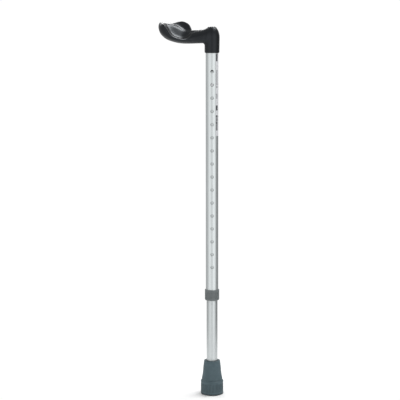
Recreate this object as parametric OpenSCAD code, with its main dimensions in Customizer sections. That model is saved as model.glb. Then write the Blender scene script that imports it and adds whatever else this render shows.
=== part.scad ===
// Height-adjustable walking stick with an anatomical palm handle.
// The stick's axis is Z, its rubber tip stands on z = 0, and the grip points to -X.
// The adjustment holes and the sprung button are on the -Y side.

/* [Stick] */
// Height of the stick from the floor to the top of the handle, at the shown setting
stick_h = 750; // [740:1:760]
// Distance from one adjustment hole to the next
hole_pitch = 26; // [24:0.5:27]
// Number of adjustment holes
hole_count = 16; // [10:1:16]
// Diameter of an adjustment hole
hole_d = 6.6; // [6.4:0.1:7.5]
// Height of the topmost adjustment hole
top_hole_z = 652; // [647:1:655]

/* [Tubes] */
// Outside diameter of the upper tube
upper_od = 25; // [24.8:0.1:25.4]
// Outside diameter of the lower tube
lower_od = 22; // [21.6:0.1:22]
// Wall thickness of both tubes
tube_wall = 1.3; // [1.2:0.05:1.4]
// Height of the upper tube's lower end
upper_bottom_z = 196; // [190:1:205]
// Height of the lower tube's lower end, inside the rubber tip
lower_bottom_z = 9; // [8:0.5:12]
// Diameter of the shallow drilled mark on the lower tube, just below the collar
drill_mark_d = 3; // [2:0.5:4]
// Height of the drilled mark
drill_mark_z = 187; // [180:1:188]

/* [Handle] */
// Outside radius of the handle's sleeve round the tube
sleeve_r = 15.1; // [14.8:0.1:15.3]
// Height of the sleeve's lower end
sleeve_bottom_z = 688; // [684:0.5:690]
// Height of the end of the tube's socket in the handle
socket_end_z = 716; // [712:1:718]
// Reach of the grip from the tube's axis
grip_reach = 105; // [100:1:108]

/* [Collar] */
// Outside diameter of the collar
collar_od = 28.8; // [28:0.1:29.4]
// Height of the collar's lower end
collar_bottom_z = 193.5; // [190:0.5:194]
// Length of the collar
collar_len = 21.5; // [18:0.5:24]

/* [Rubber tip] */
// Height of the rubber tip
tip_h = 69; // [67:1:70]
// Radius of the rubber tip's foot
tip_foot_r = 23; // [22.8:0.1:23.4]
// Depth of the tread grooves under the foot
tread_depth = 1.5; // [1:0.1:2.5]

/* [Snap button] */
// Diameter of the snap button
button_d = 6; // [5.6:0.1:6.2]
// How far the button's dome stands out of the upper tube
button_proud = 1.6; // [1:0.1:2]
// Thickness of the button's spring leaf
spring_t = 0.6; // [0.4:0.1:0.8]

/* [Hidden] */

$fn = 96;
over = 1;                    // how far a cutter runs past the surface it opens
upper_r = upper_od / 2;
upper_bore_r = upper_r - tube_wall;
lower_r = lower_od / 2;
lower_bore_r = lower_r - tube_wall;
lower_top_z = top_hole_z;    // the lower tube ends level with the topmost hole
button_z = top_hole_z - hole_pitch;    // the button sits in the second hole
fit_gap = 0.05;              // clearance of pieces fitted by hand on the same body

// Points on a quarter of an ellipse from angle a to angle b, centred on (cx, cy)
function arc_pts(cx, cy, rx, ry, a, b, n = 8) =
    [for (i = [0:n]) let (t = a + (b - a) * i / n) [cx + rx * cos(t), cy + ry * sin(t)]];

// ---- handle ----

// The grip's table of offsets. A row is one section across the grip, and its columns are: reach from
// the tube's axis, near side y, far side y, then heights of belly, near rim, dish, ridge, thumb groove
// and wing, measured down from the top of the stick.
GRIP = [
    [  4, -11.0, 11.0, 43.0, 23.0, 12.5,  9.5, 12.5, 23.0],
    [ 12, -12.5, 12.5, 43.0, 24.0, 15.5, 12.8, 15.5, 24.0],
    [ 21, -13.0, 13.0, 43.2, 26.5, 18.4, 16.3, 18.3, 26.0],
    [ 31, -13.5, 13.5, 43.5, 28.0, 19.6, 16.3, 18.3, 25.5],
    [ 38, -14.3, 14.5, 43.8, 29.5, 21.2, 16.4, 18.2, 21.5],
    [ 42, -15.3, 18.5, 43.9, 31.5, 24.4, 17.4, 18.4,  6.8],
    [ 46, -17.0, 23.0, 44.0, 33.5, 28.6, 18.4, 18.8,  0.6],
    [ 52, -19.5, 27.0, 44.0, 34.5, 32.0, 18.5, 18.5, -3.0],
    [ 59, -22.5, 29.5, 43.7, 34.5, 33.5, 15.5, 15.5, -5.0],
    [ 67, -25.5, 30.5, 42.6, 32.5, 32.0, 11.0, 10.5, -2.5],
    [ 75, -27.3, 30.5, 40.8, 29.5, 28.5,  8.0,  6.5,  1.0],
    [ 82, -28.0, 29.8, 38.5, 24.5, 23.0,  6.5,  4.5,  1.5],
    [ 87, -27.5, 28.5, 36.5, 16.0, 15.0,  5.5,  3.5,  1.2],
    [ 91, -26.0, 27.0, 34.3,  8.0,  8.5,  4.5,  2.5,  0.8],
    [ 96, -22.5, 24.0, 30.5,  5.0,  3.5,  2.0,  1.0,  0.6],
    [101, -16.5, 18.5, 25.0,  6.0,  2.0,  0.8,  0.8,  2.5],
    [104, -10.0, 12.0, 18.5,  8.5,  5.0,  4.3,  4.8,  7.0],
    [105,  -3.0,  5.0, 12.0,  9.5,  8.8,  8.4,  8.8,  9.5],
];
rim_bead = 0.6;              // how far the near rim stands above the dish
grip_along = 2;              // sections drawn for each row of the table
grip_around = 2;             // points drawn for each control point round a section

function lerp(a, b, t) = a + (b - a) * t;

// Uniform cubic B-spline through four neighbours p, at t from 0 to 1
function spline4(p, t) =
    (p[0] * pow(1 - t, 3) + p[1] * (3 * pow(t, 3) - 6 * t * t + 4)
     + p[2] * (-3 * pow(t, 3) + 3 * t * t + 3 * t + 1) + p[3] * pow(t, 3)) / 6;

// A row of the table at parameter s, with the end rows repeated so that the surface reaches them
function grip_row(s) =
    let (last = len(GRIP) - 1, i = min(floor(s), last - 1), t = s - i,
         pick = [for (k = [i - 1:i + 2]) GRIP[max(0, min(last, k))]])
    spline4(pick, t);

// Control points of the section that row r describes, once round from the near side over the top
function section_net(r) =
    let (y0 = r[1], w = r[2] - r[1],
         zb = stick_h - r[3], zn = stick_h - r[4], zd = stick_h - r[5],
         zr = stick_h - r[6], zg = stick_h - r[7], zw = stick_h - r[8])
    [
        [y0, lerp(zb, zn, 0.55)],
        [y0 + 0.01 * w, lerp(zb, zn, 0.92)],
        [y0 + 0.07 * w, lerp(zn, zd, 0.1) + rim_bead],
        [y0 + 0.20 * w, lerp(zn, zd, 0.8)],
        [y0 + 0.36 * w, zd],
        [y0 + 0.54 * w, zr],
        [y0 + 0.69 * w, zg],
        [y0 + 0.85 * w, zw],
        [y0 + 0.97 * w, lerp(zb, zw, 0.80)],
        [y0 + w, lerp(zb, zw, 0.45)],
        [y0 + 0.88 * w, lerp(zb, zw, 0.13)],
        [y0 + 0.62 * w, zb],
        [y0 + 0.36 * w, zb],
        [y0 + 0.12 * w, lerp(zb, zn, 0.18)],
    ];

// One drawn section at parameter s, as 3-D points
function grip_section(s) =
    let (r = grip_row(s), net = section_net(r), n = len(net))
    [for (j = [0:n * grip_around - 1])
        let (i = floor(j / grip_around), t = j / grip_around - i,
             p = spline4([for (k = [0:3]) net[(i + k) % n]], t))
        [-r[0] * grip_reach / GRIP[len(GRIP) - 1][0], p[0], p[1]]];

module grip() {
    rows = (len(GRIP) - 1) * grip_along;
    rings = [for (a = [0:rows]) grip_section(a / grip_along)];
    n = len(rings[0]);
    count = (rows + 1) * n;
    middles = [for (ring = [rings[0], rings[rows]]) (ring[0] + ring[n / 2]) / 2];
    points = concat([for (ring = rings) for (p = ring) p], middles);
    sides = [for (a = [0:rows - 1]) for (j = [0:n - 1])
        let (k = (j + 1) % n, p = a * n + j, q = a * n + k)
        each [[q, p, p + n], [q + n, q, p + n]]];
    ends = [for (j = [0:n - 1])
        let (k = (j + 1) % n)
        each [[j, k, count], [rows * n + k, rows * n + j, count + 1]]];
    polyhedron(points = points, faces = concat(sides, ends));
}

dome_z = stick_h - 32;       // where the sleeve's straight wall turns into the dome
dome_h = 23.5;               // height of the whole ellipse that the dome is cut from
cap_r = 9;
cap_seat_z = stick_h - 16.5;
cap_top_z = stick_h - 9.7;
screw_web = 8;               // thickness of the web that the screw clamps
screw_floor_z = socket_end_z + screw_web;
screw_well_r = 7;
screw_r = 3;
washer_r = 6.4;
washer_t = 1.2;
washer_hole_r = 3.3;

module sleeve() {
    edge = 2;                // rounding of the sleeve's lower rim
    taper = 0.5;             // how much slimmer the sleeve is at its lower rim
    cut = acos(cap_r / sleeve_r);
    rotate_extrude() polygon(concat(
        [[0, sleeve_bottom_z]],
        arc_pts(sleeve_r - taper - edge, sleeve_bottom_z + edge, edge, edge, -90, 0, 6),
        arc_pts(0, dome_z, sleeve_r, dome_h, 0, cut, 12),
        [[0, dome_z + dome_h * sin(cut)]]
    ));
}

module handle() {
    color("#1d1f22") difference() {
        union() {
            sleeve();
            grip();
        }
        translate([0, 0, sleeve_bottom_z - over])
            cylinder(r = upper_r + fit_gap, h = socket_end_z - sleeve_bottom_z + over);
        translate([0, 0, socket_end_z - over])
            cylinder(r = washer_hole_r, h = screw_web + 2 * over);
        translate([0, 0, screw_floor_z])
            cylinder(r = screw_well_r, h = cap_seat_z - screw_floor_z + over);
        translate([0, 0, cap_seat_z]) cylinder(r = cap_r, h = stick_h - cap_seat_z);
    }
}

module handle_cap() {
    rim_z = dome_z + dome_h * sin(acos(cap_r / sleeve_r));
    rim_r = cap_r - fit_gap;
    peg_r = screw_well_r - fit_gap;
    peg_len = 3.5;
    color("#34373b") rotate_extrude() polygon(concat(
        [[0, cap_seat_z - peg_len], [peg_r, cap_seat_z - peg_len], [peg_r, cap_seat_z]],
        [[rim_r, cap_seat_z], [rim_r, rim_z]],
        arc_pts(0, rim_z, rim_r, cap_top_z - rim_z, 0, 90, 10)
    ));
}

module handle_screw() {
    head_z = screw_floor_z + washer_t;
    head_r = 5;
    head_h = 3.6;
    head_edge = 2;           // rounding of the head's top edge
    screw_len = 30;
    point = 0.8;             // taper at the screw's end
    key_d = 4.6;             // hexagon socket, across its corners
    key_floor = 1;
    end_z = head_z - screw_len;
    color("#b9bcc0") difference() {
        rotate_extrude() polygon(concat(
            [[0, end_z], [screw_r - point, end_z], [screw_r, end_z + point]],
            [[screw_r, head_z], [head_r, head_z]],
            arc_pts(head_r - head_edge, head_z + head_h - head_edge, head_edge, head_edge, 0, 90, 6),
            [[0, head_z + head_h]]
        ));
        translate([0, 0, head_z + key_floor]) cylinder(d = key_d, h = head_h, $fn = 6);
    }
}

module handle_washer() {
    color("#c4c7ca") translate([0, 0, screw_floor_z]) difference() {
        cylinder(r = washer_r, h = washer_t);
        translate([0, 0, -over]) cylinder(r = washer_hole_r, h = washer_t + 2 * over);
    }
}

// ---- upper tube, with its plug, label and collar ----

module tube_plug() {
    plug_len = 28;
    ribs = 4;
    rib_h = 3.5;
    rib_pitch = 7;
    rib_depth = 0.6;
    first_rib = 2;           // from the plug's lower end to its first rib
    bottom_z = socket_end_z - plug_len;
    color("#e4e2da") difference() {
        union() {
            translate([0, 0, bottom_z]) cylinder(r = upper_bore_r - rib_depth, h = plug_len);
            for (i = [0:ribs - 1])
                translate([0, 0, bottom_z + first_rib + i * rib_pitch])
                    cylinder(r = upper_bore_r, h = rib_h);
        }
        translate([0, 0, bottom_z - over]) cylinder(r = screw_r, h = plug_len + 2 * over);
    }
}

module upper_tube() {
    tube_len = socket_end_z - upper_bottom_z;
    color("#c9cccf") difference() {
        translate([0, 0, upper_bottom_z]) cylinder(r = upper_r, h = tube_len);
        translate([0, 0, upper_bottom_z - over])
            cylinder(r = upper_bore_r, h = tube_len + 2 * over);
        for (i = [0:hole_count - 1])
            translate([0, 0, top_hole_z - i * hole_pitch])
                rotate([90, 0, 0]) cylinder(d = hole_d, h = upper_od);
    }
}

// A printed film wrapped round the tube's +X side
module label() {
    film_t = 0.15;
    film_len = 162;
    film_gap = 1;            // between the film and the handle's sleeve
    film_from = -55;         // where the film starts, turned from +X towards the holes
    film_sweep = 117;
    color("#e9ebec") translate([0, 0, sleeve_bottom_z - film_gap - film_len])
        rotate([0, 0, film_from]) rotate_extrude(angle = film_sweep)
            translate([upper_r, 0]) square([film_t, film_len]);
}

module collar() {
    collar_r = collar_od / 2;
    throat_r = lower_r + 0.3;     // the lower tube runs through this
    bottom_edge = 2;
    top_edge = 0.6;
    groove_count = 5;
    groove_pitch = 2.6;
    groove_h = 0.8;
    groove_depth = 0.35;
    first_groove = 5;        // from the collar's lower end to its first groove
    top_z = collar_bottom_z + collar_len;
    color("#70757a") difference() {
        rotate_extrude() polygon(concat(
            [[0, collar_bottom_z]],
            arc_pts(collar_r - bottom_edge, collar_bottom_z + bottom_edge,
                    bottom_edge, bottom_edge, -90, 0, 6),
            arc_pts(collar_r - top_edge, top_z - top_edge, top_edge, top_edge, 0, 90, 4),
            [[0, top_z]]
        ));
        translate([0, 0, collar_bottom_z - over])
            cylinder(r = throat_r, h = collar_len + 2 * over);
        translate([0, 0, upper_bottom_z]) cylinder(r = upper_r, h = collar_len + over);
        for (i = [0:groove_count - 1])
            translate([0, 0, collar_bottom_z + first_groove + i * groove_pitch])
                ring(collar_r - groove_depth, collar_r + over, groove_h);
    }
}

// A flat ring from radius a to radius b, standing on z = 0
module ring(a, b, h) {
    rotate_extrude() translate([a, 0]) square([b - a, h]);
}

// ---- lower tube, with its spring, button and rubber tip ----

module lower_tube() {
    tube_len = lower_top_z - lower_bottom_z;
    drill_mark_depth = 0.5;
    color("#c9cccf") difference() {
        translate([0, 0, lower_bottom_z]) cylinder(r = lower_r, h = tube_len);
        translate([0, 0, lower_bottom_z - over])
            cylinder(r = lower_bore_r, h = tube_len + 2 * over);
        translate([0, 0, button_z])
            rotate([90, 0, 0]) cylinder(d = hole_d, h = lower_od);
        translate([0, drill_mark_depth - lower_r, drill_mark_z])
            rotate([90, 0, 0]) cylinder(d = drill_mark_d, h = lower_r);
    }
}

button_flange_r = 4.2;
button_flange_t = 0.8;
spring_w = 8;
wall_gap = 0.05;             // clearance of flat pieces inside the round bore

// The flange rests on the bore's curve, so its face lies a little inside the wall
button_shoulder_y = -sqrt(pow(lower_bore_r, 2) - pow(button_flange_r, 2)) + wall_gap;
button_back_y = button_shoulder_y + button_flange_t;

// A leaf folded into a V: one arm carries the button, the other presses on the far wall
module button_spring() {
    arm_above = 14;
    arm_below = 58;
    bend_r = 3;
    bend_z = button_z - arm_below;
    top_z = button_z + arm_above;
    far_y = sqrt(pow(lower_bore_r, 2) - pow(spring_w / 2, 2)) - wall_gap;
    outer_r = bend_r + spring_t / 2;
    inner_r = bend_r - spring_t / 2;
    color("#a8acb0") translate([-spring_w / 2, 0, 0])
        rotate([90, 0, 90]) linear_extrude(spring_w) polygon(concat(
            [[button_back_y, top_z]],
            arc_pts(0, bend_z, outer_r, outer_r, 180, 360, 12),
            [[far_y, top_z], [far_y - spring_t, top_z]],
            arc_pts(0, bend_z, inner_r, inner_r, 360, 180, 12),
            [[button_back_y + spring_t, top_z]]
        ));
}

module snap_button() {
    tip_y = -(upper_r + button_proud);
    dome = 2.2;              // height of the button's rounded end
    color("#d4d7d9") rotate([90, 0, 0]) translate([0, button_z, 0])
        rotate_extrude() polygon(concat(
            [[0, -button_back_y], [button_flange_r, -button_back_y]],
            [[button_flange_r, -button_shoulder_y], [button_d / 2, -button_shoulder_y]],
            arc_pts(0, -tip_y - dome, button_d / 2, dome, 0, 90, 10)
        ));
}

tip_washer_t = 1.5;
tip_seat_z = lower_bottom_z - tip_washer_t;

// The rubber tip's side above its foot, as radius and height: a crease, then the taper to the rim
TIP_SIDE = [
    [21.3, 28.9],
    [20.7, 29.5],
    [20.6, 30.2],
    [20.85, 31.4],
    [20.5, 33.5],
    [19.35, 39.5],
    [18.7, 44],
    [18.2, 48.5],
    [17.95, 52.5],
    [17.6, 56.5],
    [17.1, 60.5],
    [16.6, 64.5],
];

module rubber_tip() {
    edge = 1.6;              // rounding of the foot
    waist = 0.3;             // how far the foot's slotted band lies inside its widest line
    bead_z = 26;             // height of the bead round the foot's upper edge
    rim_r = 16.4;
    rim_edge = 1.5;
    tread_r = [8.5, 13.5, 18.5];
    tread_w = 2.4;
    slot_count = 48;
    slot_w = 0.8;
    slot_depth = 0.5;
    slot_from_z = 6.5;
    slot_len = 16;
    band_r = tip_foot_r - waist;
    color("#4e5a60") difference() {
        rotate_extrude() polygon(concat(
            [[0, 0]],
            arc_pts(tip_foot_r - edge, edge, edge, edge, -90, 0, 6),
            [[band_r, slot_from_z - 1], [band_r, slot_from_z + slot_len + 1]],
            arc_pts(tip_foot_r - edge, bead_z, edge, edge, -40, 60, 6),
            TIP_SIDE,
            arc_pts(rim_r - rim_edge, tip_h - rim_edge, rim_edge, rim_edge, 10, 90, 6),
            [[0, tip_h]]
        ));
        translate([0, 0, tip_seat_z]) cylinder(r = lower_r, h = tip_h);
        for (r = tread_r)
            translate([0, 0, -over]) ring(r - tread_w / 2, r + tread_w / 2, tread_depth + over);
        for (i = [0:slot_count - 1]) rotate([0, 0, i * 360 / slot_count])
            translate([band_r - slot_depth, -slot_w / 2, slot_from_z]) cube([edge, slot_w, slot_len]);
    }
}

module tip_washer() {
    color("#b4b8bb") translate([0, 0, tip_seat_z])
        cylinder(r = lower_r - 2 * fit_gap, h = tip_washer_t);
}

handle();
handle_cap();
handle_screw();
handle_washer();
tube_plug();
upper_tube();
label();
collar();
lower_tube();
button_spring();
snap_button();
rubber_tip();
tip_washer();
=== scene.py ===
import math

import bmesh
import bpy
import numpy as np
from mathutils import Matrix, Vector


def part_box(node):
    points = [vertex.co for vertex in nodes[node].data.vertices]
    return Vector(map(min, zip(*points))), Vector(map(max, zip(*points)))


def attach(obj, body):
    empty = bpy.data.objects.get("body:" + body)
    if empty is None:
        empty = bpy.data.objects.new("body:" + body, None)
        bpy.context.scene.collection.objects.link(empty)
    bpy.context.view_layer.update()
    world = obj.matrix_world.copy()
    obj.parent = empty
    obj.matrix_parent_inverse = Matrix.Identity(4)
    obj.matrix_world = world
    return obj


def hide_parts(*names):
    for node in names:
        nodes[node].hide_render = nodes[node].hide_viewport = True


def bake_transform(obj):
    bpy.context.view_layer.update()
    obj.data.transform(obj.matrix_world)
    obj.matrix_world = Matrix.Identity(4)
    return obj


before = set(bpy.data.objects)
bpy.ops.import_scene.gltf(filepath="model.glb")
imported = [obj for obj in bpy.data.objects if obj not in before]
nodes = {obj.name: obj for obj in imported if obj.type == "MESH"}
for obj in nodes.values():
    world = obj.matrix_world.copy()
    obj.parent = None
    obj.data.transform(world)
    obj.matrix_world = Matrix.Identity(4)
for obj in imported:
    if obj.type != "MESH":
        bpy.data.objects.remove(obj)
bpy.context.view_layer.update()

MM = 0.001
SHARP_FROM = math.radians(35)    # edges that bend more than this are shaded sharp
SMOOTH_STEP = 0.5                # share of the way to its neighbours' mean that a point moves
SWELL_STEP = -0.52               # the step back after it, which keeps the volume

# ---------------------------------------------------------------- helpers


def new_mesh_object(name, points, faces):
    mesh = bpy.data.meshes.new(name)
    mesh.from_pydata([tuple(p) for p in points], [], [tuple(f) for f in faces])
    mesh.validate()
    piece = bpy.data.objects.new(name, mesh)
    bpy.context.scene.collection.objects.link(piece)
    mesh.shade_smooth()
    return piece


def outward(piece, merge=0.0):
    """Turns every face outwards, after merging points closer than merge."""
    bm = bmesh.new()
    bm.from_mesh(piece.data)
    if merge:
        bmesh.ops.remove_doubles(bm, verts=bm.verts, dist=merge)
        bmesh.ops.dissolve_degenerate(bm, edges=bm.edges, dist=merge)
    bmesh.ops.recalc_face_normals(bm, faces=bm.faces)
    bm.to_mesh(piece.data)
    bm.free()


def solid_turned(name, profile, segments=128):
    """A solid of revolution about Z; its outline of (radius, height) points starts and ends on the axis."""
    angles = [2 * math.pi * i / segments for i in range(segments)]
    n = len(profile)
    points = [(r * math.cos(a), r * math.sin(a), z) for a in angles for r, z in profile]
    faces = [
        (i * n + j, (i + 1) % segments * n + j, (i + 1) % segments * n + (j + 1) % n, i * n + (j + 1) % n)
        for i in range(segments)
        for j in range(n)
    ]
    piece = new_mesh_object(name, points, faces)
    outward(piece, merge=1e-5)
    return piece


def arc(cx, cz, rx, rz, start, end, steps=8):
    """Points on an ellipse's arc, in degrees."""
    turn = [math.radians(start + (end - start) * i / steps) for i in range(steps + 1)]
    return [(cx + rx * math.cos(t), cz + rz * math.sin(t)) for t in turn]


def apply_modifiers(piece):
    """Replaces the piece's mesh by its evaluated mesh."""
    graph = bpy.context.evaluated_depsgraph_get()
    mesh = bpy.data.meshes.new_from_object(piece.evaluated_get(graph))
    piece.modifiers.clear()
    old = piece.data
    piece.data = mesh
    bpy.data.meshes.remove(old)


def boolean(piece, other, operation):
    step = piece.modifiers.new(operation, "BOOLEAN")
    step.operation = operation
    step.solver = "EXACT"
    step.object = other
    apply_modifiers(piece)
    bpy.data.objects.remove(other)


def coordinates(mesh):
    flat = np.empty(len(mesh.vertices) * 3)
    mesh.vertices.foreach_get("co", flat)
    return flat.reshape(-1, 3)


def relax(mesh, weight, rounds, keep_volume=True):
    """Laplacian smoothing of a mesh, point by point weight from 0 to 1."""
    points = coordinates(mesh)
    pairs = np.empty(len(mesh.edges) * 2, dtype=np.int64)
    mesh.edges.foreach_get("vertices", pairs)
    a, b = pairs.reshape(-1, 2).T
    count = np.bincount(pairs, minlength=len(points))[:, None]
    steps = [SMOOTH_STEP, SWELL_STEP] if keep_volume else [SMOOTH_STEP]
    for _ in range(rounds):
        for step in steps:
            total = np.zeros_like(points)
            np.add.at(total, a, points[b])
            np.add.at(total, b, points[a])
            points = points + step * weight[:, None] * (total / count - points)
    mesh.vertices.foreach_set("co", points.ravel())
    mesh.update()


# ---------------------------------------------------------------- node shorthand


class Nodes:
    """A small helper that adds nodes to a material or world and wires them."""

    def __init__(self, owner):
        owner.use_nodes = True
        self.tree = owner.node_tree
        self.tree.nodes.clear()

    def add(self, kind, **settings):
        node = self.tree.nodes.new(kind)
        for key, value in settings.items():
            setattr(node, key, value)
        return node

    def link(self, source, target):
        self.tree.links.new(source, target)

    def math(self, operation, first, second=None, clamp=False):
        node = self.add("ShaderNodeMath", operation=operation, use_clamp=clamp)
        for socket, value in zip(node.inputs, (first, second)):
            if value is None:
                continue
            if isinstance(value, (int, float)):
                socket.default_value = value
            else:
                self.link(value, socket)
        return node.outputs[0]

    def ramp(self, factor, stops, interpolation="LINEAR"):
        node = self.add("ShaderNodeValToRGB")
        node.color_ramp.interpolation = interpolation
        elements = node.color_ramp.elements
        while len(elements) < len(stops):
            elements.new(0.5)
        for element, (at, value) in zip(elements, stops):
            element.position = at
            element.color = (value, value, value, 1) if isinstance(value, (int, float)) else (*value, 1)
        self.link(factor, node.inputs[0])
        return node.outputs[0]

    def noise(self, scale, detail=2.0, stretch=(1, 1, 1), roughness=0.5):
        where = self.add("ShaderNodeTexCoord").outputs["Object"]
        mapping = self.add("ShaderNodeMapping")
        mapping.inputs["Scale"].default_value = stretch
        texture = self.add("ShaderNodeTexNoise")
        texture.inputs["Scale"].default_value = scale
        texture.inputs["Detail"].default_value = detail
        texture.inputs["Roughness"].default_value = roughness
        self.link(where, mapping.inputs["Vector"])
        self.link(mapping.outputs[0], texture.inputs["Vector"])
        return texture.outputs["Fac"]

    def painted_gap_shade(self, reach, power):
        """Painted shade: 1 in the open, falling to 0 in narrow gaps, holes and creases, to darken a colour
        where shade falls.
        """
        node = self.add("ShaderNodeAmbientOcclusion", samples=8)
        node.inputs["Distance"].default_value = reach
        return self.math("POWER", node.outputs["AO"], power)

    def multiply(self, color, factor):
        node = self.add("ShaderNodeVectorMath", operation="SCALE")
        self.link(color, node.inputs[0])
        self.link(factor, node.inputs["Scale"])
        return node.outputs[0]

    def bump(self, height, strength, distance, normal=None):
        node = self.add("ShaderNodeBump")
        node.inputs["Strength"].default_value = strength
        node.inputs["Distance"].default_value = distance
        self.link(height, node.inputs["Height"])
        if normal:
            self.link(normal, node.inputs["Normal"])
        return node.outputs[0]


def finish_material(n, color, roughness, normal, metallic=0.0, **fixed):
    shader = n.add("ShaderNodeBsdfPrincipled")
    shader.inputs["Metallic"].default_value = metallic
    for key, value in fixed.items():
        shader.inputs[key].default_value = value
    n.link(color, shader.inputs["Base Color"])
    n.link(roughness, shader.inputs["Roughness"])
    n.link(normal, shader.inputs["Normal"])
    out = n.add("ShaderNodeOutputMaterial")
    n.link(shader.outputs[0], out.inputs["Surface"])


def give(piece, material):
    piece.data.materials.clear()
    piece.data.materials.append(material)


# ---------------------------------------------------------------- materials


def black_plastic(name, dark, light, rough):
    material = bpy.data.materials.new(name)
    n = Nodes(material)
    color = n.ramp(n.noise(60, 4), [(0.3, dark), (0.7, light)])
    handling = n.noise(35, 5, roughness=0.65)
    roughness = n.ramp(handling, [(0.3, rough), (0.75, rough + 0.09)])
    grain = n.bump(n.noise(2600, 2), 0.10, 0.00004)
    swell = n.bump(n.noise(45, 2), 0.25, 0.0004, grain)
    gloss = {"Specular IOR Level": 0.39, "Specular Tint": (0.86, 0.93, 1.0, 1)}
    finish_material(n, color, roughness, swell, **gloss)
    return material


def anodised_aluminium(name, tone, painted_gap_shade):
    material = bpy.data.materials.new(name)
    n = Nodes(material)
    lines = n.noise(900, 3, stretch=(1, 1, 0.012), roughness=0.7)
    cloud = n.noise(30, 3, stretch=(1, 1, 0.3))
    dull = (0.577 * tone, 0.610 * tone, 0.616 * tone)
    bright = (0.645 * tone, 0.681 * tone, 0.686 * tone)
    # Painted shade: the colour darkens inside the upper tube, round the walls of the holes and in other
    # narrow gaps.
    color = n.multiply(n.ramp(lines, [(0.3, dull), (0.7, bright)]), n.painted_gap_shade(0.007, painted_gap_shade))
    roughness = n.math("ADD", n.math("MULTIPLY", lines, 0.10), n.math("MULTIPLY", cloud, 0.10))
    roughness = n.math("ADD", roughness, 0.22)
    normal = n.bump(lines, 0.12, 0.00003)
    finish_material(n, color, roughness, normal, metallic=1.0)
    return material


def plated_steel(name, tone, rough):
    material = bpy.data.materials.new(name)
    n = Nodes(material)
    spots = n.noise(400, 4)
    color = n.ramp(spots, [(0.3, tuple(c * 0.88 for c in tone)), (0.7, tone)])
    roughness = n.ramp(spots, [(0.3, rough), (0.7, rough + 0.12)])
    normal = n.bump(n.noise(1500, 3), 0.1, 0.00003)
    finish_material(n, color, roughness, normal, metallic=1.0)
    return material


def grey_plastic(name, dark, light, rough):
    material = bpy.data.materials.new(name)
    n = Nodes(material)
    color = n.ramp(n.noise(120, 4), [(0.3, dark), (0.7, light)])
    roughness = n.ramp(n.noise(300, 3), [(0.3, rough), (0.7, rough + 0.12)])
    normal = n.bump(n.noise(1800, 3), 0.25, 0.00008)
    finish_material(n, color, roughness, normal)
    return material


def rubber(name):
    material = bpy.data.materials.new(name)
    n = Nodes(material)
    mottle = n.noise(90, 5, roughness=0.6)
    color = n.ramp(mottle, [(0.3, (0.052, 0.086, 0.101)), (0.7, (0.067, 0.109, 0.127))])
    # Painted shade: the rubber darkens in its creases, such as the groove above the foot's bead.
    color = n.multiply(color, n.painted_gap_shade(0.006, 1.9))
    roughness = n.ramp(n.noise(220, 4), [(0.3, 0.52), (0.7, 0.68)])
    normal = n.bump(n.noise(1400, 4), 0.3, 0.0001)
    finish_material(n, color, roughness, normal)
    return material


# The label carries no lettering: one column of plain bars, and rows of short lines round the far side.
# Bars: distance of the top edge below the label's top, and length, in metres, then strength of the ink.
LABEL_BARS = [
    (0.0005, 0.0145, 0.95),
    (0.0320, 0.0300, 0.37),
    (0.0640, 0.0030, 0.50),
    (0.0785, 0.0100, 0.42),
    (0.1015, 0.0100, 0.98),
    (0.1210, 0.0045, 0.92),
    (0.1260, 0.0070, 0.78),
    (0.1335, 0.0050, 0.92),
    (0.1390, 0.0120, 0.76),
]
BAR_COLUMN = (-53, -31)    # degrees round the tube, from +X
LINE_COLUMN = (8, 54)
LINE_PITCH = 0.0042
LINE_GAP = 0.55            # share of the pitch left unprinted
LINE_INK = 0.55


def printed_film(name):
    material = bpy.data.materials.new(name)
    n = Nodes(material)
    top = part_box("label")[1][2]
    xyz = n.add("ShaderNodeSeparateXYZ")
    n.link(n.add("ShaderNodeTexCoord").outputs["Object"], xyz.inputs[0])
    below_top = n.math("SUBTRACT", top, xyz.outputs[2])
    turn = n.math("ARCTAN2", xyz.outputs[1], xyz.outputs[0])

    def between(value, low, high):
        return n.math("MULTIPLY", n.math("GREATER_THAN", value, low), n.math("LESS_THAN", value, high))

    bars = None
    for start, length, strength in LABEL_BARS:
        bar = n.math("MULTIPLY", between(below_top, start, start + length), strength)
        bars = bar if bars is None else n.math("ADD", bars, bar)
    bars = n.math("MULTIPLY", bars, between(turn, *map(math.radians, BAR_COLUMN)))
    rows = n.math("GREATER_THAN", n.math("FRACT", n.math("DIVIDE", below_top, LINE_PITCH)), LINE_GAP)
    rows = n.math("MULTIPLY", between(turn, *map(math.radians, LINE_COLUMN)), rows)
    ink = n.math("ADD", bars, n.math("MULTIPLY", rows, LINE_INK), clamp=True)
    color = n.ramp(ink, [(0.0, (0.66, 0.67, 0.69)), (1.0, (0.05, 0.053, 0.06))])
    roughness = n.ramp(n.noise(500, 3), [(0.3, 0.30), (0.7, 0.42)])
    normal = n.bump(n.noise(300, 2), 0.15, 0.00005)
    finish_material(n, color, roughness, normal)
    return material


plastic = black_plastic("handle_plastic", (0.0022, 0.0027, 0.0036), (0.0036, 0.0044, 0.0058), 0.26)
# The cap is paler than the handle: partly its own grey plug and partly a painted highlight for the light on
# the top of the dome.
cap_plastic = black_plastic("cap_plastic", (0.035, 0.036, 0.038), (0.045, 0.046, 0.048), 0.30)
# The last number sets how strong the painted shade is in gaps and round the holes.
aluminium = anodised_aluminium("anodised_aluminium", 1.06, 0.4)
inner_aluminium = anodised_aluminium("inner_aluminium", 0.93, 0.4)
steel = plated_steel("plated_steel", (0.62, 0.63, 0.64), 0.22)
button_steel = plated_steel("button_steel", (0.56, 0.57, 0.585), 0.38)
spring_steel = plated_steel("spring_steel", (0.45, 0.46, 0.48), 0.30)
nylon = grey_plastic("natural_nylon", (0.62, 0.60, 0.54), (0.70, 0.68, 0.62), 0.45)
collar_grey = grey_plastic("collar_grey", (0.118, 0.136, 0.138), (0.148, 0.166, 0.168), 0.46)
tip_rubber = rubber("tip_rubber")
film = printed_film("label_film")

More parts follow.
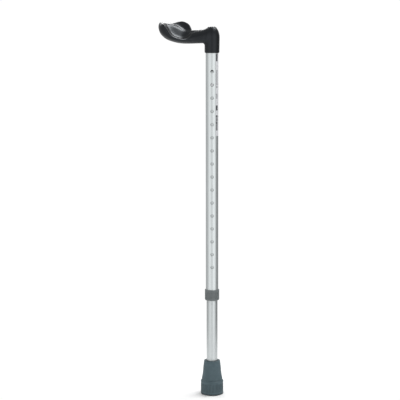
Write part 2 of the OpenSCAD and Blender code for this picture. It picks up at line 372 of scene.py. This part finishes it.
give(nodes["handle_cap"], cap_plastic)
give(nodes["handle_screw"], steel)
give(nodes["handle_washer"], steel)
give(nodes["tip_washer"], steel)
give(nodes["snap_button"], button_steel)
give(nodes["tube_plug"], nylon)
give(nodes["upper_tube"], aluminium)
give(nodes["lower_tube"], inner_aluminium)
give(nodes["label"], film)
give(nodes["collar"], collar_grey)
give(nodes["rubber_tip"], tip_rubber)

# ---------------------------------------------------------------- handle

# Sections across the grip, in millimetres: reach from the tube's axis, near side y, far side y, then
# depths below the top of the stick of belly, near rim, dish, ridge, thumb groove and wing.
GRIP = [
    (4, -11.0, 11.0, 43.0, 23.0, 12.5, 9.5, 12.5, 23.0),
    (12, -12.5, 12.5, 43.0, 24.0, 15.5, 12.8, 15.5, 24.0),
    (21, -13.0, 13.0, 43.2, 26.5, 18.4, 16.3, 18.3, 26.0),
    (31, -13.5, 13.5, 43.5, 28.0, 19.6, 16.3, 18.3, 25.5),
    (38, -14.3, 14.5, 43.8, 29.5, 21.2, 16.4, 18.2, 21.5),
    (42, -15.3, 18.5, 43.9, 31.5, 24.4, 17.4, 18.4, 6.8),
    (46, -17.0, 23.0, 44.0, 33.5, 28.6, 18.4, 18.8, 0.6),
    (52, -19.5, 27.0, 44.0, 34.5, 32.0, 18.5, 18.5, -3.0),
    (59, -22.5, 29.5, 43.7, 34.5, 33.5, 15.5, 15.5, -5.0),
    (67, -25.5, 30.5, 42.6, 32.5, 32.0, 11.0, 10.5, -2.5),
    (75, -27.3, 30.5, 40.8, 29.5, 28.5, 8.0, 6.5, 1.0),
    (82, -28.0, 29.8, 38.5, 24.5, 23.0, 6.5, 4.5, 1.5),
    (87, -27.5, 28.5, 36.5, 16.0, 15.0, 5.5, 3.5, 1.2),
    (91, -26.0, 27.0, 34.3, 8.0, 8.5, 4.5, 2.5, 0.8),
    (96, -22.5, 24.0, 30.5, 5.0, 3.5, 2.0, 1.0, 0.6),
    (101, -16.5, 18.5, 25.0, 6.0, 2.0, 0.8, 0.8, 2.5),
    (104, -10.0, 12.0, 18.5, 8.5, 5.0, 4.3, 4.8, 7.0),
    (105, -3.0, 5.0, 12.0, 9.5, 8.8, 8.4, 8.8, 9.5),
]
RIM_BEAD = 0.6          # how far the near rim stands above the dish
STICK_TOP = 750.0
SLEEVE_R = 15.1
SLEEVE_BOTTOM = 688.0
SLEEVE_EDGE = 2.0       # rounding of the sleeve's lower rim
SLEEVE_TAPER = 0.5      # how much slimmer the sleeve is at its lower rim
DOME_Z = STICK_TOP - 32
DOME_H = 23.5
CAP_R = 9.0
CAP_SEAT = STICK_TOP - 16.5
SOCKET_R = 12.55
SOCKET_END = 716.0
SCREW_R = 3.3
SCREW_FLOOR = SOCKET_END + 8
WELL_R = 7.0
LEAD_IN = 0.4           # chamfer at the socket's mouth
CAP_CHAMFER = 0.35      # width of the chamfer round the mouth of the cap's hole
CAP_CHAMFER_Z = (-0.3, 0.15)    # heights of its two edges, from the mouth
PAST = 5                # how far a cutter runs past the surface it opens
VOXEL = 0.7
RELAX_ALL = 14          # rounds of smoothing over the whole moulding, which hide the voxels
RELAX_JOIN = 110        # rounds of smoothing where the grip meets the sleeve, which make the fillet
JOIN_REACH = 6.0        # how far from the sleeve's wall the fillet reaches
JOIN_START = 2          # no fillet nearer to the tube's axis than this, along the grip
JOIN_GROW = 6           # beyond that it grows to its full strength over this length
JOIN_BOTTOM = 698       # no fillet below this height
JOIN_RISE = 5           # above that it grows to its full strength over this height


def spline_weights(t):
    return np.array([(1 - t) ** 3, 3 * t**3 - 6 * t * t + 4, -3 * t**3 + 3 * t * t + 3 * t + 1, t**3]) / 6


def section_net(row):
    """Control points (y, z) once round a section, from the near side over the top."""
    _, y0, y1, belly, rim, dish, ridge, groove, wing = row
    w = y1 - y0
    zb, zn, zd, zr, zg, zw = (STICK_TOP - d for d in (belly, rim, dish, ridge, groove, wing))

    def mix(a, b, t):
        return a + (b - a) * t

    return np.array([
        (y0, mix(zb, zn, 0.55)),
        (y0 + 0.01 * w, mix(zb, zn, 0.92)),
        (y0 + 0.07 * w, mix(zn, zd, 0.1) + RIM_BEAD),
        (y0 + 0.20 * w, mix(zn, zd, 0.8)),
        (y0 + 0.36 * w, zd),
        (y0 + 0.54 * w, zr),
        (y0 + 0.69 * w, zg),
        (y0 + 0.85 * w, zw),
        (y0 + 0.97 * w, mix(zb, zw, 0.80)),
        (y0 + w, mix(zb, zw, 0.45)),
        (y0 + 0.88 * w, mix(zb, zw, 0.13)),
        (y0 + 0.62 * w, zb),
        (y0 + 0.36 * w, zb),
        (y0 + 0.12 * w, mix(zb, zn, 0.18)),
    ])


def grip_piece(along=8, around=10):
    """The grip as a smooth B-spline loft, in millimetres."""
    rows = np.array(GRIP)
    last = len(rows) - 1
    rings = []
    for step in range(last * along + 1):
        i = min(step // along, last - 1)
        t = step / along - i
        pick = rows[np.clip(np.arange(i - 1, i + 3), 0, last)]
        row = spline_weights(t) @ pick
        net = section_net(row)
        n = len(net)
        ring = []
        for j in range(n * around):
            k, u = divmod(j, around)
            y, z = spline_weights(u / around) @ net[[(k + m) % n for m in range(4)]]
            ring.append((-row[0], y, z))
        rings.append(np.array(ring))
    n = len(rings[0])
    points = np.concatenate(rings)
    faces = [
        (a * n + j, (a + 1) * n + j, (a + 1) * n + (j + 1) % n, a * n + (j + 1) % n)
        for a in range(len(rings) - 1)
        for j in range(n)
    ]
    faces.append(tuple(range(n)))
    faces.append(tuple(reversed(range(len(points) - n, len(points)))))
    return new_mesh_object("grip", points, faces)


def handle_piece():
    """The whole moulding: grip and sleeve fused, their join filleted, then bored for tube, screw and cap."""
    sleeve = solid_turned("sleeve", [
        (0, SLEEVE_BOTTOM),
        *arc(SLEEVE_R - SLEEVE_TAPER - SLEEVE_EDGE, SLEEVE_BOTTOM + SLEEVE_EDGE,
             SLEEVE_EDGE, SLEEVE_EDGE, -90, 0),
        *arc(0, DOME_Z, SLEEVE_R, DOME_H, 0, 90, 24),
    ])
    piece = grip_piece()
    piece.name = "moulded_handle"
    boolean(piece, sleeve, "UNION")
    remesh = piece.modifiers.new("even", "REMESH")
    remesh.mode = "VOXEL"
    remesh.voxel_size = VOXEL
    apply_modifiers(piece)
    mesh = piece.data
    relax(mesh, np.ones(len(mesh.vertices)), RELAX_ALL)
    points = coordinates(mesh)
    off_sleeve = np.abs(np.hypot(points[:, 0], points[:, 1]) - SLEEVE_R)
    near_join = np.clip(1 - off_sleeve / JOIN_REACH, 0, 1)
    near_join *= np.clip((-points[:, 0] - JOIN_START) / JOIN_GROW, 0, 1)
    near_join *= np.clip((points[:, 2] - JOIN_BOTTOM) / JOIN_RISE, 0, 1)
    relax(mesh, near_join, RELAX_JOIN, keep_volume=False)

    cap_rim = DOME_Z + DOME_H * math.sqrt(1 - (CAP_R / SLEEVE_R) ** 2)
    cutter = solid_turned("bores", [
        (0, SLEEVE_BOTTOM - PAST),
        (SOCKET_R + LEAD_IN, SLEEVE_BOTTOM - PAST),
        (SOCKET_R + LEAD_IN, SLEEVE_BOTTOM),
        (SOCKET_R, SLEEVE_BOTTOM + LEAD_IN),
        (SOCKET_R, SOCKET_END),
        (SCREW_R, SOCKET_END),
        (SCREW_R, SCREW_FLOOR),
        (WELL_R, SCREW_FLOOR),
        (WELL_R, CAP_SEAT),
        (CAP_R, CAP_SEAT),
        (CAP_R, cap_rim + CAP_CHAMFER_Z[0]),
        (CAP_R + CAP_CHAMFER, cap_rim + CAP_CHAMFER_Z[1]),
        (CAP_R + CAP_CHAMFER, STICK_TOP + PAST),
        (0, STICK_TOP + PAST),
    ], 160)
    boolean(piece, cutter, "DIFFERENCE")
    piece.data.transform(Matrix.Scale(MM, 4))
    piece.data.shade_smooth()
    piece.data.set_sharp_from_angle(angle=SHARP_FROM)
    return piece


handle = handle_piece()
give(handle, plastic)
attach(handle, "upper")
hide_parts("handle")


# ---------------------------------------------------------------- button spring

LEAF_T = 0.6 * MM
LEAF_BEND_R = 3.0 * MM
LEAF_EDGE = 0.2 * MM


def spring_piece():
    """The leaf folded into a V, with the button on its near arm and the tube's wall behind its far arm.
    """
    (x0, near_y, low_z), (x1, far_y, top_z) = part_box("button_spring")
    bend_z = low_z + LEAF_BEND_R + LEAF_T / 2
    ends = (near_y + LEAF_T / 2, far_y - LEAF_T / 2)
    arm_steps = 36
    share = np.linspace(1, 0, arm_steps, endpoint=False)
    near = [(-LEAF_BEND_R + (ends[0] + LEAF_BEND_R) * k, bend_z + (top_z - bend_z) * k) for k in share]
    far = [(LEAF_BEND_R + (ends[1] - LEAF_BEND_R) * k, bend_z + (top_z - bend_z) * k) for k in share]
    middle = np.array(near + arc(0, bend_z, LEAF_BEND_R, LEAF_BEND_R, 180, 360, 20) + far[::-1])
    along = np.gradient(middle, axis=0)
    along /= np.linalg.norm(along, axis=1)[:, None]
    across = np.stack([-along[:, 1], along[:, 0]], axis=1)
    half_w, half_t = (x1 - x0) / 2, LEAF_T / 2
    outline = [
        point
        for sx, sy, start in ((1, 1, 0), (-1, 1, 90), (-1, -1, 180), (1, -1, 270))
        for point in arc(sx * (half_w - LEAF_EDGE), sy * (half_t - LEAF_EDGE), LEAF_EDGE, LEAF_EDGE,
                         start, start + 90, 3)
    ]
    n = len(outline)
    points = [(x, y + u * ay, z + u * az) for (y, z), (ay, az) in zip(middle, across) for x, u in outline]
    faces = [
        (a * n + j, a * n + (j + 1) % n, (a + 1) * n + (j + 1) % n, (a + 1) * n + j)
        for a in range(len(middle) - 1)
        for j in range(n)
    ]
    faces.append(tuple(reversed(range(n))))
    faces.append(tuple(range(len(points) - n, len(points))))
    piece = new_mesh_object("spring_leaf", points, faces)
    outward(piece)
    piece.data.set_sharp_from_angle(angle=SHARP_FROM)
    return piece


spring = spring_piece()
give(spring, spring_steel)
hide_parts("button_spring")
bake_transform(spring)

# ---------------------------------------------------------------- floor, light and camera


ROOM_WHITE = 1.02          # glow of the room and of the floor's edge, as the camera sees them
FLOOR_R = 0.45
FLOOR_SIDES = 96


def pale_floor():
    """A pale floor just wide enough for the shadow; at its edge it melts into the white room."""
    turns = np.linspace(0, 2 * math.pi, FLOOR_SIDES + 1)[:-1]
    rim = [(FLOOR_R * math.cos(t), FLOOR_R * math.sin(t), 0) for t in turns]
    floor = new_mesh_object("floor", rim, [range(FLOOR_SIDES)])
    material = bpy.data.materials.new("floor_white")
    n = Nodes(material)
    length = n.add("ShaderNodeVectorMath", operation="LENGTH")
    n.link(n.add("ShaderNodeTexCoord").outputs["Object"], length.inputs[0])
    out = n.math("DIVIDE", length.outputs["Value"], FLOOR_R)
    fade = n.ramp(out, [(0.25, 0.0), (0.95, 1.0)], "EASE")
    paper = n.add("ShaderNodeBsdfDiffuse")
    paper.inputs["Color"].default_value = (0.95, 0.95, 0.95, 1)
    white = n.add("ShaderNodeEmission")
    white.inputs["Strength"].default_value = ROOM_WHITE
    mix = n.add("ShaderNodeMixShader")
    n.link(fade, mix.inputs[0])
    n.link(paper.outputs[0], mix.inputs[1])
    n.link(white.outputs[0], mix.inputs[2])
    n.link(mix.outputs[0], n.add("ShaderNodeOutputMaterial").inputs["Surface"])
    give(floor, material)


# Glow of the walls by compass direction, in degrees from the camera's own side
WALLS = [
    (-180, 0.62),
    (-115, 0.52),
    (-88, 0.60),
    (-64, 0.95),
    (-40, 1.22),
    (-20, 1.02),
    (-3, 0.72),
    (10, 0.98),
    (30, 1.36),
    (50, 1.24),
    (70, 0.72),
    (92, 0.26),
    (125, 0.30),
    (150, 0.50),
    (180, 0.62),
]
CEILING = 0.55


def studio_world():
    """A white room with walls of uneven glow and a dimmer ceiling; to the camera it is plain white."""
    world = bpy.data.worlds.new("studio")
    bpy.context.scene.world = world
    n = Nodes(world)
    xyz = n.add("ShaderNodeSeparateXYZ")
    n.link(n.add("ShaderNodeTexCoord").outputs["Generated"], xyz.inputs[0])
    x, y, z = xyz.outputs
    compass = n.math("ARCTAN2", x, n.math("MULTIPLY", y, -1))
    compass = n.math("ADD", n.math("DIVIDE", compass, 2 * math.pi), 0.5)
    side = n.ramp(compass, [(0.5 + turn / 360, glow) for turn, glow in WALLS])
    height = n.ramp(z, [(0.20, 0.0), (0.60, 1.0)])
    mix = n.add("ShaderNodeMix", data_type="FLOAT")
    n.link(height, mix.inputs[0])
    n.link(side, mix.inputs[2])
    mix.inputs[3].default_value = CEILING
    seen = n.add("ShaderNodeLightPath").outputs["Is Camera Ray"]
    final = n.add("ShaderNodeMix", data_type="FLOAT")
    n.link(seen, final.inputs[0])
    n.link(mix.outputs[0], final.inputs[2])
    final.inputs[3].default_value = ROOM_WHITE
    light = n.add("ShaderNodeBackground")
    light.inputs["Color"].default_value = (1, 1, 1, 1)
    n.link(final.outputs[0], light.inputs["Strength"])
    n.link(light.outputs[0], n.add("ShaderNodeOutputWorld").inputs["Surface"])


# Rectangular lamps: compass turn and angle of height as seen from the handle, width, length and glow
SOFTBOXES = {
    "key": (118, 60, 1.15, 0.95, 10.5),
    "side": (66, 55, 0.9, 0.6, 2.6),
    "left_strip": (-120, 24, 0.35, 0.9, 9),
    "back": (180, 30, 0.9, 0.6, 8),
}
LAMP_AIM = Vector((-0.04, 0, 0.73))
LAMP_DISTANCE = 2.2


def softbox(name, turn, height, width, length, glow):
    a, e = math.radians(turn), math.radians(height)
    away = Vector((math.cos(e) * math.sin(a), -math.cos(e) * math.cos(a), math.sin(e)))
    data = bpy.data.lights.new(name, "AREA")
    data.shape = "RECTANGLE"
    data.size = width
    data.size_y = length
    data.energy = glow * width * length * math.pi
    lamp = bpy.data.objects.new(name, data)
    lamp.location = LAMP_AIM + away * LAMP_DISTANCE
    lamp.rotation_euler = away.to_track_quat("Z", "Y").to_euler()
    bpy.context.scene.collection.objects.link(lamp)


def photo_camera(place, lens, pitch, roll):
    """The camera, turned down by pitch and about its own view by roll, in degrees."""
    data = bpy.data.cameras.new("camera")
    data.lens = lens
    data.clip_end = 100
    camera = bpy.data.objects.new("camera", data)
    camera.location = place
    tilt = Matrix.Rotation(math.radians(90 - pitch), 3, "X")
    turn = Matrix.Rotation(math.radians(roll), 3, "Z")
    camera.rotation_euler = (tilt @ turn).to_euler()
    bpy.context.scene.collection.objects.link(camera)
    bpy.context.scene.camera = camera


for lamp_name, settings in SOFTBOXES.items():
    softbox(lamp_name, *settings)
pale_floor()
studio_world()
photo_camera(place=(-0.024, -2.6, 0.75), lens=118.35, pitch=7.745, roll=-0.085)
bpy.context.scene.view_settings.view_transform = "Standard"
